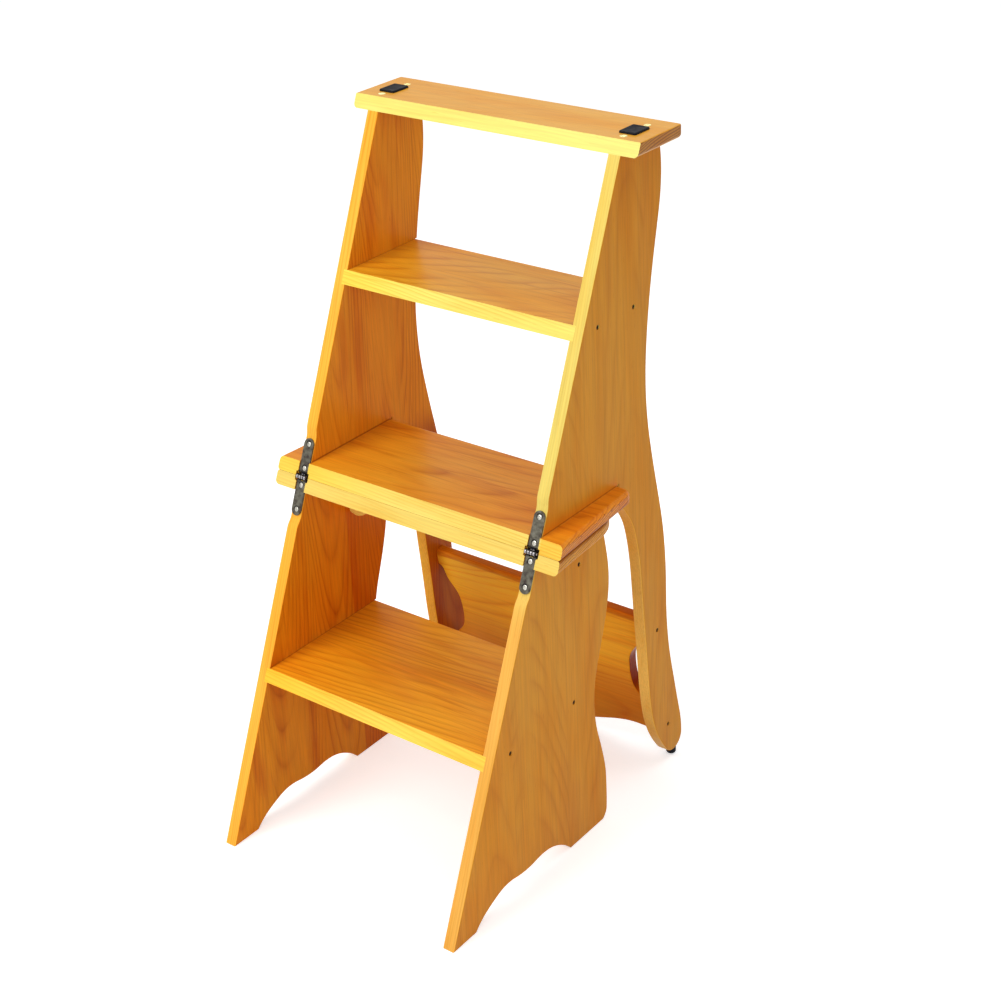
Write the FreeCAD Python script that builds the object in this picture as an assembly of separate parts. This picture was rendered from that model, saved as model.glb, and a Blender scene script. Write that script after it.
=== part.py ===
import FreeCAD, Part
import math
import os

V = FreeCAD.Vector

# A ladder that turns over into a chair. A lower and an upper unit of varnished pine meet
# on a level seam at seat height and are hinged along their front edges.
# X is the width, Y runs from the climbing side to the back, Z is up, in millimetres.

# Overall sizes
seat_height = 450.0
frame_width = 378.0
overall_depth = 501.3
edge_lean = 0.43

# Boards
panel_thickness = 17.0
seat_board_thickness = 17.0
top_board_thickness = 17.0
step_thickness = 17.0
apron_thickness = 17.0
back_board_thickness = 17.0
arris_radius = 1.5

# Seat boards, meeting on the seam
seam_gap = 0.3
seat_board_width = 444.0
lower_seat_depth = 151.5
upper_seat_depth = 167.5
lower_seat_corner = 60.0
upper_seat_corner = 12.0
seat_end_taper = 0.075
seat_outer_round = 6.0
seat_seam_round = 3.5

# Top board with its pads
top_board_width = 424.0
top_board_depth = 86.0
top_board_corner = 3.0
top_board_under_round = 5.5
pad_height = 5.0
pad_length = 30.0
pad_depth = 34.0
pad_inset = 32.0
pad_setback = 26.0
pad_corner = 3.0
pad_round = 1.2

# Steps, housed in grooves across the side panels
housing_depth = 5.0
lower_step_top = 220.2
upper_step_top = 695.6
lower_step_depth = 205.3
upper_step_depth = 132.9

# Lower side panels
lower_panel_top_depth = 138.8
lower_heel = 322.0
lower_heel_height = 35.0
lower_heel_corner = 10.0
lower_heel_tuck = 0.6
front_foot_length = 44.0
rear_foot_start = 240.0

# Upper side panels
top_board_overhang = 12.5
leg_tip_radius = 20.0
leg_tip_height = 31.5
leg_tip_end = 217.5
leg_front_start = 9.0
relief_radius = 1.6

# Curves of the edges: place along the straight line between the ends, and bow from it
lower_rear_bows = ((0.078, 6.7), (0.191, 13.1), (0.405, -3.8), (0.541, -20.4), (0.646, -23.1),
                   (0.869, -3.4))
lower_arch_bows = ((0.066, 11.0), (0.194, 23.5), (0.301, 29.5), (0.515, 26.0), (0.745, 28.0),
                   (0.934, 12.0))
upper_rear_bows = ((0.052, 1.7), (0.152, -18.1), (0.255, -39.0), (0.37, -49.5), (0.512, -36.4),
                   (0.627, -22.8), (0.81, -22.4), (0.914, -9.2))
leg_front_bows = ((0.104, 10.5), (0.235, 17.0), (0.44, 5.2), (0.608, -5.6), (0.751, -14.8),
                  (0.864, -16.5))

# Apron below the lower seat board
apron_setback = 73.0
apron_end_depth = 63.0
apron_dip_depth = 65.2
apron_middle_depth = 36.0
apron_end_flat = 16.0
apron_curl = 42.0

# Back board between the rear legs
back_board_slope = 0.152
back_board_low = 59.8
back_board_from_tip = 13.4
back_board_top = 233.0
back_board_top_round = 5.0
back_notch_top = 214.0
back_notch_middle = 139.0
back_notch_bottom = 79.0
back_notch_depth = 30.0
back_notch_quarter = 0.35
back_notch_half = 0.75
back_notch_lead = 0.35
back_crest_ends = 48.5
back_crest_middle = 17.0
back_crest_shoulder = 22.0
back_crest_bows = ((0.35, -1.1), (0.52, 2.5), (0.8, 3.4))

back_screw_rise = 159.6

# Hinges
axis_clearance = 0.5
leaf_sink = 1.5
leaf_thickness = 1.8
ease_length = 18.0
leaf_width = 15.5
leaf_length = 50.0
leaf_start = 5.5
knuckle_radius = 3.0
knuckle_gap = 0.4
middle_knuckle = 5.5
pin_radius = 1.5
pin_overhang = 1.2
pin_fit = 0.05
slot_radius = 5.8
slot_width = 21.0
pocket_clearance = 0.15
leaf_screw_near = 11.0

# Fasteners
fastener_fit = 0.05
hinge_screw = {"head": 3.1, "shank": 1.5, "length": 14.0}
wood_screw = {"head": 3.0, "shank": 1.8, "length": 42.0}
head_rim = 0.4
head_sink = 0.9
plug_radius = 4.5
plug_depth = 5.0
plug_pull = 0.1
lower_step_screws = (35.0, 165.0)
upper_step_screws = (30.0, 104.0)
seat_screws_lower = (34.0, 108.0)
seat_screws_upper = (45.0, 140.0)
top_screws = (12.0, 61.0)
apron_screw_drop = 35.0

# Rubber feet under the leg tips
foot_radius = 6.8
foot_height = 14.0
foot_round = 3.5
foot_offset = 6.0
foot_stem_radius = 2.5
foot_stem_length = 14.0

# Derived places
lower_seat_top = seat_height - seam_gap / 2
lower_seat_under = lower_seat_top - seat_board_thickness
upper_seat_under = seat_height + seam_gap / 2
upper_seat_top = upper_seat_under + seat_board_thickness
top_board_top = 2 * seat_height - pad_height
top_board_under = top_board_top - top_board_thickness
panel_outer = frame_width / 2
panel_inner = panel_outer - panel_thickness
panel_middle = panel_outer - panel_thickness / 2
lean_angle = math.degrees(math.atan(edge_lean))
axis_y = edge_lean * seat_height - axis_clearance / math.cos(math.radians(lean_angle))
leg_tip_y = overall_depth - leg_tip_radius
far = 2 * overall_depth


def front_y(z):
    return edge_lean * z


lower_seat_rear = front_y(seat_height) + lower_seat_depth
upper_seat_rear = front_y(seat_height) + upper_seat_depth
top_board_rear = front_y(top_board_top) + top_board_depth
leaf_screw_far = leaf_length - leaf_width / 2
back_tilt = math.degrees(math.atan(back_board_slope))
leaf_front = axis_clearance + leaf_sink
recess_floor = leaf_front + leaf_thickness


# Helpers for outlines in the side view, given as (y, z)
def bowed(start, end, bows):
    run = V(0, end[0] - start[0], end[1] - start[1])
    side = V(0, -run.z, run.y).normalize()
    points = [V(0, start[0], start[1])]
    for share, bow in bows:
        points.append(points[0] + run * share + side * bow)
    points.append(V(0, end[0], end[1]))
    return points


def curve(points, first=None, last=None):
    # a smooth chain of tangent arcs through the points, two arcs to a span
    spline = Part.BSplineCurve()
    if first and last:
        spline.interpolate(Points=points, InitialTangent=first, FinalTangent=last)
    elif last:
        spline.interpolate(Points=points, FinalTangent=last)
    else:
        spline.interpolate(Points=points)
    ways = [V(*spline.tangent(spline.parameter(p))[0]).normalize() for p in points]
    if first:
        ways[0] = V(first).normalize()
    if last:
        ways[-1] = V(last).normalize()
    edges = []
    for i in range(len(points) - 1):
        edges += two_arcs(points[i], ways[i], points[i + 1], ways[i + 1])
    return edges


def two_arcs(a, way_a, b, way_b):
    span = b - a
    turn = 1 - way_a.dot(way_b)
    along = span.dot(way_a + way_b)
    if turn < 1e-9:
        reach = span.dot(span) / (2 * along)
    else:
        root = math.sqrt(along * along + 2 * turn * span.dot(span))
        reach = (root - along) / (2 * turn)
    joint = (a + b + (way_a - way_b) * reach) / 2
    return [arc_from(a, way_a, joint), arc_from(b, way_b * -1, joint)]


def arc_from(start, way, end):
    # the arc that leaves start along way and ends at end, or a line where they agree
    chord = end - start
    half = chord.Length / 2
    unit = V(chord).normalize()
    side = way - unit * way.dot(unit)
    if side.Length < 1e-6:
        return Part.makeLine(start, end)
    rise = half * side.Length / (1 + way.dot(unit))
    middle = start + unit * half + side.normalize() * rise
    return Part.Arc(start, middle, end).toShape()


def line(a, b):
    return Part.makeLine(V(0, a[0], a[1]), V(0, b[0], b[1]))


def slab(edges, x_low, x_high):
    wire = Part.Wire(Part.__sortEdges__(edges))
    face = Part.Face(wire)
    face.translate(V(x_low, 0, 0))
    return face.extrude(V(x_high - x_low, 0, 0))


def soften(shape, radius, keep):
    edges = [e for e in shape.Edges if keep(e)]
    return shape.makeFillet(radius, edges)


def flat_in_x(edge):
    return edge.BoundBox.XLength < 1e-6


def box(x0, x1, y0, y1, z0, z1):
    return Part.makeBox(x1 - x0, y1 - y0, z1 - z0, V(x0, y0, z0))


def in_front(x_half):
    # everything in front of the leaning plane of the front edges
    low, high = -seat_height, 3 * seat_height
    edges = [line((front_y(low), low), (front_y(high), high)),
             line((front_y(high), high), (-far, high)),
             line((-far, high), (-far, low)),
             line((-far, low), (front_y(low), low))]
    return slab(edges, -x_half, x_half)


def mirrored(shape):
    return shape.mirror(V(0, 0, 0), V(1, 0, 0))


def joined(shapes):
    return Part.makeCompound(shapes)


# Screws: a countersunk head and a plain shank, and the hole that takes them
def screw_body(size, grow):
    head = size["head"] + grow
    shank = size["shank"] + grow
    rim = head_rim + grow
    cone = size["head"] - size["shank"]
    length = size["length"] + grow
    points = [V(0, 0, -grow), V(head, 0, -grow), V(head, 0, rim), V(shank, 0, rim + cone),
              V(shank, 0, length), V(0, 0, length), V(0, 0, -grow)]
    face = Part.Face(Part.makePolygon(points))
    return face.revolve(V(0, 0, 0), V(0, 0, 1), 360)


def aimed(shape, at, towards):
    turned = shape.copy()
    turned.Placement = FreeCAD.Placement(at, FreeCAD.Rotation(V(0, 0, 1), towards))
    return turned


def screw(size, at, towards):
    return aimed(screw_body(size, 0), at, towards)


def screw_hole(size, at, towards):
    way_in = Part.makeCylinder(size["head"] + fastener_fit, size["head"], V(0, 0, -size["head"]))
    return aimed(screw_body(size, fastener_fit).fuse(way_in), at, towards)


def side_screw_places(depths, z):
    # heads just under the outer face of the panel, shanks running inwards
    x = panel_outer - head_sink
    places = [(V(x, y, z), V(-1, 0, 0)) for y in depths]
    return places + [(V(-x, y, z), V(1, 0, 0)) for y in depths]


def lower_step_places():
    z = lower_step_top - step_thickness / 2
    return side_screw_places([front_y(z) + d for d in lower_step_screws], z)


def upper_step_places():
    z = upper_step_top - step_thickness / 2
    return side_screw_places([front_y(z) + d for d in upper_step_screws], z)


def apron_places():
    y = front_y(seat_height) + apron_setback + apron_thickness / 2
    return side_screw_places([y], lower_seat_under - apron_screw_drop)


def back_board_places():
    low = side_screw_places([back_y(back_board_low)], back_board_low)
    z = back_board_low + back_screw_rise
    return low + side_screw_places([back_y(z)], z)


def plugged_places(face_z, depths, down):
    # screws driven through a board into the panel ends, under round wooden plugs
    way = V(0, 0, -1) if down else V(0, 0, 1)
    front = front_y(face_z)
    places = []
    for depth in depths:
        for x in (-panel_middle, panel_middle):
            places.append((V(x, front + depth, face_z), way))
    return places


def lower_seat_places():
    return plugged_places(lower_seat_top, seat_screws_lower, True)


def upper_seat_places():
    return plugged_places(upper_seat_under, seat_screws_upper, False)


def top_places():
    return plugged_places(top_board_top, top_screws, True)


def drilled(shape, places, size):
    for at, way in places:
        shape = shape.cut(screw_hole(size, at, way))
    return shape


def plug_drilled(shape, places):
    for at, way in places:
        bore = Part.makeCylinder(plug_radius, plug_depth + 1)
        bore.translate(V(0, 0, -1))
        shape = shape.cut(aimed(bore, at, way))
        shape = shape.cut(screw_hole(wood_screw, at + way * plug_depth, way))
    return shape


def plug_screws(places):
    return joined([screw(wood_screw, at + way * plug_depth, way) for at, way in places])


def plugs(places):
    made = []
    for at, way in places:
        made.append(aimed(Part.makeCylinder(plug_radius, plug_depth - plug_pull), at, way))
    return joined(made)


# Hinge parts are drawn about the axis with Z up the front edge and Y into the wood
def on_front_edge(shape):
    shape = shape.copy()
    shape.rotate(V(0, 0, 0), V(1, 0, 0), -lean_angle)
    shape.translate(V(0, axis_y, seat_height))
    return shape


def leaf_outline(near, grow, depth):
    half = leaf_width / 2 + grow
    round_centre = leaf_length - leaf_width / 2
    side_a = Part.makeLine(V(-half, 0, near), V(-half, 0, round_centre))
    cap = Part.Arc(V(-half, 0, round_centre), V(0, 0, round_centre + half), V(half, 0, round_centre))
    side_b = Part.makeLine(V(half, 0, round_centre), V(half, 0, near))
    foot = Part.makeLine(V(half, 0, near), V(-half, 0, near))
    face = Part.Face(Part.Wire([side_a, cap.toShape(), side_b, foot]))
    return face.extrude(V(0, depth, 0))


def knuckle_spans(middle):
    inner = middle_knuckle / 2
    if middle:
        return [(-inner, inner)]
    outer = leaf_width / 2
    return [(-outer, -inner - knuckle_gap), (inner + knuckle_gap, outer)]


def leaf(middle):
    plate = leaf_outline(leaf_start, 0, leaf_thickness)
    plate.translate(V(0, leaf_front, 0))
    for low, high in knuckle_spans(middle):
        barrel = Part.makeCylinder(knuckle_radius, high - low, V(low, 0, 0), V(1, 0, 0))
        tongue = box(low, high, leaf_front, recess_floor, 0, leaf_start + 1)
        plate = plate.fuse(barrel).fuse(tongue)
    bore = Part.makeCylinder(pin_radius + pin_fit, leaf_width * 2, V(-leaf_width, 0, 0), V(1, 0, 0))
    plate = plate.cut(bore)
    for s in (leaf_screw_near, leaf_screw_far):
        plate = plate.cut(screw_hole(hinge_screw, V(0, leaf_front, s), V(0, 1, 0)))
    return plate.removeSplitter()


def upper_leaf():
    return on_front_edge(leaf(True))


def lower_leaf():
    return on_front_edge(leaf(False).mirror(V(0, 0, 0), V(0, 0, 1)))


def hinge_pin():
    half = leaf_width / 2 + pin_overhang
    pin = Part.makeCylinder(pin_radius, 2 * half, V(-half, 0, 0), V(1, 0, 0))
    pin = pin.makeChamfer(pin_radius / 4, [e for e in pin.Edges if flat_in_x(e)])
    return on_front_edge(pin)


def hinge_screw_places(sign):
    at = [V(0, leaf_front, sign * s) for s in (leaf_screw_near, leaf_screw_far)]
    rotation = FreeCAD.Rotation(V(1, 0, 0), -lean_angle)
    into = rotation.multVec(V(0, 1, 0))
    moved = [rotation.multVec(p) + V(0, axis_y, seat_height) for p in at]
    return [(p + V(x, 0, 0), into) for p in moved for x in (-panel_middle, panel_middle)]


def leaf_pocket(sign):
    # the recess that carries on across the front edge of a seat board
    outline = leaf_outline(0, pocket_clearance, recess_floor + 1)
    outline.translate(V(0, -1, 0))
    if sign < 0:
        outline = outline.mirror(V(0, 0, 0), V(0, 0, 1))
    return on_front_edge(outline)


def hinge_slot():
    half = slot_width / 2
    slot = Part.makeCylinder(slot_radius, 2 * half, V(-half, 0, 0), V(1, 0, 0))
    return on_front_edge(slot)


def board_hinge_cuts(shape, sign):
    for x in (-panel_middle, panel_middle):
        for tool in (leaf_pocket(sign), hinge_slot()):
            tool.translate(V(x, 0, 0))
            shape = shape.cut(tool)
    return drilled(shape, hinge_screw_places(sign), hinge_screw)


# Boards, drawn with a deeper front and then cut back to the leaning plane
def board(width, taper, rear, z_low, z_high, corner, top_round, under_round):
    front = front_y(z_low) - 2 * (z_high - z_low)
    wide = width / 2 + taper * (front_y(z_low) - front)
    narrow = width / 2 - taper * (rear - front_y(z_low))
    corners = [V(-wide, front, z_low), V(wide, front, z_low), V(narrow, rear, z_low),
               V(-narrow, rear, z_low), V(-wide, front, z_low)]
    blank = Part.Face(Part.makePolygon(corners)).extrude(V(0, 0, z_high - z_low))
    blank = soften(blank, corner, lambda e: e.BoundBox.YMin > rear - 1e-6 and e.BoundBox.ZLength > 1)

    def round_at(z):
        def chosen(e):
            box_e = e.BoundBox
            return box_e.ZLength < 1e-6 and abs(box_e.ZMin - z) < 1e-6 and box_e.YMax > front + 1
        return chosen

    blank = soften(blank, top_round, round_at(z_high))
    blank = soften(blank, under_round, round_at(z_low))
    return blank.cut(in_front(wide + 1))


def lower_seat_board():
    shape = board(seat_board_width, seat_end_taper, lower_seat_rear, lower_seat_under, lower_seat_top,
                  lower_seat_corner, seat_seam_round, seat_outer_round)
    shape = board_hinge_cuts(shape, -1)
    return plug_drilled(shape, lower_seat_places())


def upper_seat_board():
    shape = board(seat_board_width, seat_end_taper, upper_seat_rear, upper_seat_under, upper_seat_top,
                  upper_seat_corner, seat_outer_round, seat_seam_round)
    shape = board_hinge_cuts(shape, 1)
    return plug_drilled(shape, upper_seat_places())


def top_board():
    shape = board(top_board_width, 0, top_board_rear, top_board_under, top_board_top,
                  top_board_corner, arris_radius, top_board_under_round)
    return plug_drilled(shape, top_places())


def step(z_top, depth):
    half = panel_inner + housing_depth
    front = front_y(z_top)
    z_low = z_top - step_thickness
    return box(-half, half, front - step_thickness, front + depth, z_low, z_top)


def lower_step():
    shape = step(lower_step_top, lower_step_depth)
    rear = front_y(lower_step_top) + lower_step_depth
    shape = soften(shape, arris_radius, lambda e: rear_edge(e, rear))
    return drilled(shape.cut(in_front(frame_width)), lower_step_places(), wood_screw)


def upper_step():
    shape = step(upper_step_top, upper_step_depth)
    rear = front_y(upper_step_top) + upper_step_depth
    shape = soften(shape, arris_radius, lambda e: rear_edge(e, rear))
    return drilled(shape.cut(in_front(frame_width)), upper_step_places(), wood_screw)


def rear_edge(edge, rear):
    size = edge.BoundBox
    return size.XLength > frame_width / 2 and abs(size.YMin - rear) < 1e-6


def grooved(shape, z_top):
    # the housing runs across the whole panel on its inner face
    z_low = z_top - step_thickness
    inner = panel_inner - housing_depth
    return shape.cut(box(inner, panel_inner + housing_depth, -far, far, z_low, z_top))


# Side panels, drawn for the right side (positive X)
def lower_panel_edges():
    top = lower_seat_under
    top_rear = (front_y(top) + lower_panel_top_depth, top)
    heel = (lower_heel, lower_heel_height)
    corner = lower_heel_corner
    ground_end = (lower_heel - corner, 0.0)
    down = V(0, 0, -1)
    under = V(0, -1, -lower_heel_tuck)
    edges = [line((recessed(top), top), top_rear),
             line(ground_end, (rear_foot_start, 0)),
             line((front_foot_length, 0), (0, 0))]
    edges += eased_front(-1, (front_y(top), top), (0, 0))
    edges += curve(bowed(top_rear, heel, lower_rear_bows), last=down)
    edges += curve([V(0, heel[0], heel[1]), V(0, ground_end[0], 0)], down, under)
    edges += curve(bowed((front_foot_length, 0), (rear_foot_start, 0), lower_arch_bows))
    return edges


def on_lean(rise, depth):
    # a place given up the front edge from the fold, and back from the axis
    a = math.radians(lean_angle)
    y = axis_y + rise * math.sin(a) + depth * math.cos(a)
    return (y, seat_height + rise * math.cos(a) - depth * math.sin(a))


def recessed(z):
    # depth of the recess floor at a height
    low, high = on_lean(0, recess_floor), on_lean(1, recess_floor)
    return low[0] + (z - low[1]) * (high[0] - low[0]) / (high[1] - low[1])


def eased_front(sign, fold_end, far_end):
    # the front edge: set back beside the hinge leaf, then eased out to the leaning line
    ease_start = on_lean(sign * leaf_length, recess_floor)
    ease_end = on_lean(sign * (leaf_length + ease_length), axis_clearance)
    a = math.radians(lean_angle)
    way = V(0, sign * math.sin(a), sign * math.cos(a))
    ends = [V(0, ease_start[0], ease_start[1]), V(0, ease_end[0], ease_end[1])]
    start = (recessed(fold_end[1]), fold_end[1])
    return [line(start, ease_start)] + curve(ends, way, way) + [line(ease_end, far_end)]


def lower_side_panel():
    shape = slab(lower_panel_edges(), panel_inner, panel_outer)
    top = lower_seat_under
    shape = soften(shape, arris_radius, lambda e: flat_in_x(e) and e.BoundBox.ZMin < top - 1)
    shape = grooved(shape, lower_step_top)
    shape = drilled(shape, hinge_screw_places(-1), hinge_screw)
    shape = drilled(shape, lower_step_places() + apron_places(), wood_screw)
    return plug_drilled(shape, lower_seat_places())


def upper_panel_edges():
    low, high = upper_seat_top, top_board_under
    rear_top = (top_board_rear - top_board_overhang, high)
    heel = (overall_depth, leg_tip_height)
    tip_end = on_tip(leg_tip_end)
    leg_start = (upper_seat_rear, low - leg_front_start)
    down = V(0, 0, -1)
    leg_front = bowed(leg_start, tip_end, leg_front_bows)
    edges = [line((front_y(high), high), rear_top),
             tip_arc(heel, tip_end),
             line(leg_start, (upper_seat_rear, low)),
             line((upper_seat_rear, low), (recessed(low), low))]
    edges += eased_front(1, (recessed(low), low), (front_y(high), high))
    edges += curve(bowed(rear_top, heel, upper_rear_bows), last=down)
    edges += curve(leg_front, down, along_tip(leg_tip_end))
    return edges


def on_tip(angle):
    a = math.radians(angle)
    return (leg_tip_y + leg_tip_radius * math.cos(a), leg_tip_height + leg_tip_radius * math.sin(a))


def along_tip(angle):
    a = math.radians(angle)
    return V(0, -math.sin(a), math.cos(a))


def tip_arc(start, end):
    middle = on_tip((leg_tip_end + 360) / 2)
    arc = Part.Arc(V(0, start[0], start[1]), V(0, middle[0], middle[1]), V(0, end[0], end[1]))
    return arc.toShape()


def upper_side_panel():
    shape = slab(upper_panel_edges(), panel_inner, panel_outer)

    def free_edge(e):
        size = e.BoundBox
        on_board = size.ZLength < 1e-6
        behind_board = size.YLength < 1e-6
        return flat_in_x(e) and not on_board and not behind_board

    shape = soften(shape, arris_radius, free_edge)
    shape = grooved(shape, upper_step_top)
    relief = Part.makeCylinder(relief_radius, far, V(0, upper_seat_rear, upper_seat_top), V(1, 0, 0))
    shape = shape.cut(relief)
    shape = drilled(shape, hinge_screw_places(1), hinge_screw)
    shape = drilled(shape, upper_step_places() + back_board_places(), wood_screw)
    shape = plug_drilled(shape, upper_seat_places() + top_places())
    shape = shape.cut(foot_body(fastener_fit))
    return shape


# Apron and back board
def apron_outline(half):
    top = lower_seat_under
    ends = top - apron_end_depth
    dip = top - apron_dip_depth
    middle = top - apron_middle_depth
    knee = half - apron_end_flat - apron_curl
    right = [V(half, 0, ends), V(half - apron_end_flat, 0, dip),
             V(half - apron_end_flat - apron_curl / 2, 0, (ends + middle) / 2), V(knee, 0, middle)]
    left = V(-knee, 0, middle)
    edges = curve(right, last=V(-1, 0, 0))
    edges += [e.mirror(V(0, 0, 0), V(1, 0, 0)) for e in edges]
    edges += [Part.makeLine(right[-1], left), Part.makeLine(V(-half, 0, top), V(half, 0, top))]
    return edges + [Part.makeLine(V(x, 0, ends), V(x, 0, top)) for x in (-half, half)]


def lower_apron():
    y = front_y(seat_height) + apron_setback
    wire = Part.Wire(Part.__sortEdges__(apron_outline(panel_inner)))
    shape = Part.Face(wire).extrude(V(0, apron_thickness, 0))
    shape.translate(V(0, y, 0))
    below = lower_seat_under - 1

    def lower_arris(e):
        size = e.BoundBox
        return size.YLength < 1e-6 and size.ZMax < below and size.XLength > 1e-6

    shape = soften(shape, arris_radius, lower_arris)
    return drilled(shape, apron_places(), wood_screw)


def back_y(z):
    return leg_tip_y - back_board_from_tip - back_board_slope * (z - back_board_low)


def notch_side(end, half):
    # from the end of the board in to the deepest place, by way of a quarter and a half
    rise = end - back_notch_middle
    shares = [(0, 1), (back_notch_quarter, 0.75), (back_notch_half, 0.5), (1, 0)]
    return [V(half - back_notch_depth * i, 0, back_notch_middle + rise * j) for i, j in shares]


def back_half_outline(half):
    down = V(0, 0, -1)
    slant = V(-1, 0, -back_notch_lead)
    upper = notch_side(back_notch_top, half)
    lower = notch_side(back_notch_bottom, half)[::-1]
    shoulder = (half - back_crest_shoulder, back_crest_ends)
    crest = bowed(shoulder, (0, back_crest_middle), back_crest_bows)
    edges = [Part.makeLine(V(0, 0, back_board_top), V(half, 0, back_board_top)),
             Part.makeLine(V(half, 0, back_board_top), upper[0]),
             Part.makeLine(lower[-1], V(half, 0, back_crest_ends)),
             Part.makeLine(V(half, 0, back_crest_ends), V(shoulder[0], 0, shoulder[1]))]
    edges += curve(upper, slant, down)
    edges += curve(lower, down, V(-slant.x, 0, slant.z))
    return edges + curve([V(p.y, 0, p.z) for p in crest], last=V(-1, 0, 0))


def in_face(edge, z):
    size = edge.BoundBox
    return size.ZMin > z - 1e-6 and size.XLength > 1


def back_board():
    right = back_half_outline(panel_inner)
    left = [e.mirror(V(0, 0, 0), V(1, 0, 0)) for e in right]
    wire = Part.Wire(Part.__sortEdges__(right + left))
    shape = Part.Face(wire).extrude(V(0, back_board_thickness, 0))
    shape.translate(V(0, -back_board_thickness / 2, -back_board_low))

    top = back_board_top - back_board_low

    def free_edge(e):
        size = e.BoundBox
        return size.YLength < 1e-6 and size.XLength > 1e-6 and size.ZMax < top - 1

    shape = soften(shape, arris_radius, free_edge)
    shape = soften(shape, back_board_top_round, lambda e: in_face(e, top))
    shape.rotate(V(0, 0, 0), V(1, 0, 0), back_tilt)
    shape.translate(V(0, back_y(back_board_low), back_board_low))
    return drilled(shape, back_board_places(), wood_screw)


# Small parts
def top_pad():
    half = pad_length / 2
    x = top_board_width / 2 - pad_inset
    y = front_y(top_board_top) + pad_setback
    z = top_board_top
    pad = box(x - half, x + half, y - pad_depth / 2, y + pad_depth / 2, z, z + pad_height)
    pad = soften(pad, pad_corner, lambda e: e.BoundBox.ZLength > 1)
    return soften(pad, pad_round, lambda e: e.BoundBox.ZMin > z + pad_height - 1e-6)


def foot_body(grow):
    y = leg_tip_y + foot_offset
    radius = foot_radius + grow
    button = Part.makeCylinder(radius, foot_height + grow, V(panel_middle, y, 0))
    if grow == 0:
        button = soften(button, foot_round, lambda e: e.BoundBox.ZMax < 1e-6)
    stem = Part.makeCylinder(foot_stem_radius + grow, foot_stem_length, V(panel_middle, y, foot_height))
    return button.fuse(stem).removeSplitter()


def group(size, places):
    return joined([screw(size, at, way) for at, way in places])


def shifted(shape, x):
    moved = shape.copy()
    moved.translate(V(x, 0, 0))
    return moved


def save(name, shape):
    # the frame's origin lies on the floor under the middle of the overall depth
    shape = shape.copy()
    shape.translate(V(0, -overall_depth / 2, 0))
    for solid in shape.Solids:
        if not solid.isValid():
            raise ValueError(name + " is not a valid solid")
    shape.exportStep("parts/" + name + ".step")
    print(name, len(shape.Solids), round(shape.Volume))


def save_pair(name, right):
    save(name + "_right", right)
    save(name + "_left", mirrored(right))


def main():
    os.makedirs("parts", exist_ok=True)
    save_pair("lower_side_panel", lower_side_panel())
    save("lower_seat_board", lower_seat_board())
    save("lower_step", lower_step())
    save("lower_apron", lower_apron())
    save_pair("upper_side_panel", upper_side_panel())
    save("upper_seat_board", upper_seat_board())
    save("upper_step", upper_step())
    save("top_board", top_board())
    save("back_board", back_board())
    save_pair("top_pad", top_pad())
    save_pair("leg_foot", foot_body(0))
    save_pair("lower_hinge_leaf", shifted(lower_leaf(), panel_middle))
    save_pair("upper_hinge_leaf", shifted(upper_leaf(), panel_middle))
    save_pair("hinge_pin", shifted(hinge_pin(), panel_middle))
    save("lower_hinge_screws", group(hinge_screw, hinge_screw_places(-1)))
    save("upper_hinge_screws", group(hinge_screw, hinge_screw_places(1)))
    save("lower_step_screws", group(wood_screw, lower_step_places()))
    save("upper_step_screws", group(wood_screw, upper_step_places()))
    save("apron_screws", group(wood_screw, apron_places()))
    save("back_board_screws", group(wood_screw, back_board_places()))
    save("lower_seat_screws", plug_screws(lower_seat_places()))
    save("upper_seat_screws", plug_screws(upper_seat_places()))
    save("top_board_screws", plug_screws(top_places()))
    save("lower_seat_plugs", plugs(lower_seat_places()))
    save("upper_seat_plugs", plugs(upper_seat_places()))
    save("top_board_plugs", plugs(top_places()))


main()
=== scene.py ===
import math

import bpy
from mathutils import Matrix, Vector


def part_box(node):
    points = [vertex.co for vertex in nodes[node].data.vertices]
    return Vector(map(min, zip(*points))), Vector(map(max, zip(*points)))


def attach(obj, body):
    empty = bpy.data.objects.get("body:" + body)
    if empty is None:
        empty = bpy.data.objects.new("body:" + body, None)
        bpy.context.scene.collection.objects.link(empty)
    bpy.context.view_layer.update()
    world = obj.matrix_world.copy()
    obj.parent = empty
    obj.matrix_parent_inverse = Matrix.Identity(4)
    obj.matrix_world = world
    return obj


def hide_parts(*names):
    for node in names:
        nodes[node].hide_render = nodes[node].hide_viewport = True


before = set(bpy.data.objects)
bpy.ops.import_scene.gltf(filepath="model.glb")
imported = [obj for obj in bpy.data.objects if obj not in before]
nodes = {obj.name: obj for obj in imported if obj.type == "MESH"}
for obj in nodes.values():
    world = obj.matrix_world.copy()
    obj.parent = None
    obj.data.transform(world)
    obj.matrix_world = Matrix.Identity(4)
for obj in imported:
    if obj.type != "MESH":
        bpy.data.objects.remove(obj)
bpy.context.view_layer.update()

scene = bpy.context.scene

# Directions: X to the climber's right, Y to the rear legs, Z up
SIDE = (1.0, 0.0, 0.0)
LEFTWARD = (-1.0, 0.0, 0.0)
REARWARD = (0.0, 1.0, 0.0)
UP = (0.0, 0.0, 1.0)
DOWNWARD = (0.0, 0.0, -1.0)

# The camera fitted to the photograph: angles in radians, place in metres
VIEW_AZIMUTH = 0.6566
VIEW_DIP = 0.4445
VIEW_ROLL = -0.0412
VIEW_PLACE = (1.37134, -1.59705, 1.53501)
HALF_FRAME = 500.5
FOCAL_PIXELS = 1918.72
SHIFT_X = -0.0285
SHIFT_Y = -0.0710
CLIP_END = 50

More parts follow.
